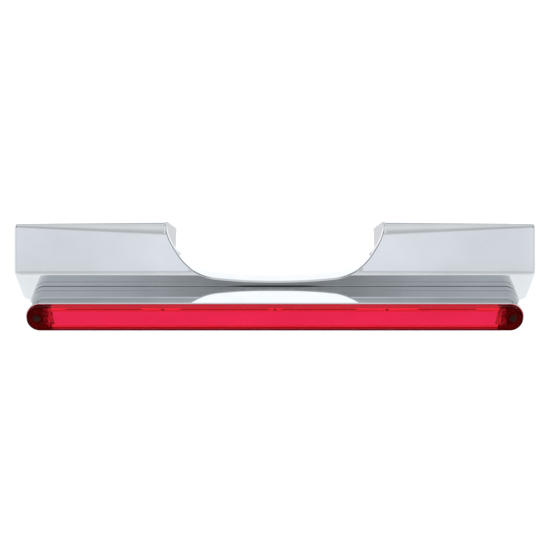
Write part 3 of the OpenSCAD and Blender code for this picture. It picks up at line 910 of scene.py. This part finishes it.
black_wire = surface("black_wire", (0.012, 0.012, 0.012), (0.03, 0.03, 0.03), (0.35, 0.45))
white_wire = surface("white_wire", (0.74, 0.74, 0.72), (0.82, 0.82, 0.80), (0.35, 0.45))

make_rails()
make_end_plates()

FINISH = {
    "housing_gasket": foam, "bar_seal": foam, "housing_screws": zinc, "weld_studs": zinc,
    "stud_washers": zinc, "stud_nuts": zinc, "lens": red_clear, "left_bracket": bracket_zinc,
    "right_bracket": bracket_zinc, "lens_screws": dark_steel_with_red_cast, "light_base": black_plastic,
    "wire_socket": black_plastic, "led_board": board_mask, "leds": diode, "board_parts": component,
    "potting": resin, "screw_inserts": brass, "socket_pins": brass, "socket_seal": silicone,
    "lead_stop": red_wire, "lead_tail": black_wire, "lead_ground": white_wire,
}
EDGE_ROUNDING = {"left_bracket": 1.0, "right_bracket": 1.0, "stud_nuts": 0.35, "wire_socket": 0.3,
                 "stud_washers": 0.15, "weld_studs": 0.3, "lens": 0.7}
for node, material in FINISH.items():
    NODES[node].data.materials.clear()
    NODES[node].data.materials.append(material)
for node, width in EDGE_ROUNDING.items():
    soften(NODES[node], width, segments=2)


# ---- studio ----
FLOOR_DROP = 260                                    # below the lamp, in millimetres
FLOOR_HALF = 12                                     # metres
LIGHT_POWER, LIGHT_SIZE = 150, 7                    # watts and metres
LIGHT_Y, LIGHT_Z = 1200, 2600


def make_floor():
    """A plain pale floor."""
    material = surface("floor", (0.90, 0.90, 0.90), (0.92, 0.92, 0.92), (0.7, 0.8), scale=3)
    bm = bmesh.new()
    bmesh.ops.create_grid(bm, x_segments=4, y_segments=4, size=FLOOR_HALF)
    mesh = bpy.data.meshes.new("floor")
    bm.to_mesh(mesh)
    bm.free()
    floor = bpy.data.objects.new("floor", mesh)
    floor.location = at(0, 0, -FLOOR_DROP)
    mesh.materials.append(material)
    bpy.context.scene.collection.objects.link(floor)


def grey(value):
    return (value, value, value)


# Brightness of the studio towards the camera's side, against the sine of the elevation.
FRONT_STOPS = [(-1.0, grey(1.25)), (-0.03, grey(1.15)), (0.03, grey(0.86)), (0.25, grey(0.80)),
               (0.33, (0.80, 0.80, 0.82)), (0.365, (1.04, 1.04, 1.08)), (0.42, (1.05, 1.05, 1.09)),
               (0.50, grey(0.84)), (0.62, grey(0.66)), (0.76, grey(0.66)), (0.86, grey(0.74)),
               (1.0, grey(0.95))]
# Its brightness against how far to the side: more in the middle and at the far ends.
SIDE_STOPS = [(0.0, 1.10), (0.065, 1.10), (0.10, 1.0), (0.125, 0.98), (0.15, 1.04), (0.3, 1.1)]
# Behind the object, against the sine of the elevation again.
REAR_STOPS = [(-1.0, 1.5), (0.15, 1.5), (0.25, 1.4), (0.44, 1.4), (0.52, 1.0), (0.60, 0.6),
              (0.68, 0.5), (0.76, 0.95), (1.0, 0.95)]
SIDE_BRIGHTNESS = 1.15
TO_SIDE, TO_REAR = (0.55, 0.85), (0.05, 0.40)       # where each takes over from the front
WORLD_SCALE = 2.0                                   # a ramp's colours stay under 1
# The dark camera, as the waist mirrors it: a soft patch at the camera's own height.
SPOT_BRIGHTNESS = 0.42
SPOT_X, SPOT_Z = (0.13, 0.02), (0.030, 0.012)       # where it begins and is darkest
# Dark flags high at both sides, which draw the cut-out's edge as a dark line.
FLAG_BRIGHTNESS = 0.02
FLAG_X, FLAG_Y, FLAG_Z = (0.18, 0.26), (-0.30, -0.45), (0.38, 0.46)


def make_world():
    """A studio whose brightness changes with height in front and behind, and is even at the sides."""
    world = bpy.data.worlds.new("studio")
    world.use_nodes = True
    tree = world.node_tree
    background = tree.nodes["Background"]
    axes = split_axes(tree, "Generated")
    height = spread(tree, axes["Z"], 0.0, 1.0, -1.0, 1.0)
    stops = [((z + 1) / 2, tuple(c / WORLD_SCALE for c in colour)) for z, colour in FRONT_STOPS]
    front = ramp(tree, height, stops)
    sideways = math_node(tree, "ABSOLUTE", axes["X"])
    shade = ramp(tree, sideways, [(x, grey(value / WORLD_SCALE)) for x, value in SIDE_STOPS])
    front = mix_colours(tree, None, front, shade, "MULTIPLY")
    front = mix_colours(tree, None, front, grey(WORLD_SCALE), "MULTIPLY")
    side = blend_range(tree, sideways, *TO_SIDE)
    back = blend_range(tree, axes["Y"], *TO_REAR)
    from_camera = math_node(tree, "SUBTRACT", axes["Z"], math.sin(ELEVATION))
    from_camera = math_node(tree, "ABSOLUTE", from_camera)
    spot = math_node(tree, "MULTIPLY", blend_range(tree, sideways, *SPOT_X),
                     blend_range(tree, from_camera, *SPOT_Z))
    colour = mix_colours(tree, spot, front, grey(SPOT_BRIGHTNESS / WORLD_SCALE))
    flag = math_node(tree, "MULTIPLY", blend_range(tree, sideways, *FLAG_X),
                     blend_range(tree, axes["Z"], *FLAG_Z))
    flag = math_node(tree, "MULTIPLY", flag, blend_range(tree, axes["Y"], *FLAG_Y))
    colour = mix_colours(tree, flag, colour, grey(FLAG_BRIGHTNESS / WORLD_SCALE))
    colour = mix_colours(tree, side, colour, grey(SIDE_BRIGHTNESS / WORLD_SCALE))
    rear = ramp(tree, height, [((z + 1) / 2, grey(value / WORLD_SCALE)) for z, value in REAR_STOPS])
    colour = mix_colours(tree, back, colour, rear)
    tree.links.new(colour, background.inputs["Color"])
    background.inputs["Strength"].default_value = WORLD_SCALE
    bpy.context.scene.world = world


def make_lights():
    """One soft light overhead, which the chrome doesn't mirror."""
    light = bpy.data.lights.new("top", "AREA")
    light.energy = LIGHT_POWER
    light.size = LIGHT_SIZE
    lamp = bpy.data.objects.new("top", light)
    lamp.location = at(0, LIGHT_Y, LIGHT_Z)
    lamp.visible_camera = False
    lamp.visible_glossy = False
    bpy.context.scene.collection.objects.link(lamp)


make_floor()
make_world()
make_lights()
bpy.context.scene.view_settings.view_transform = "Standard"
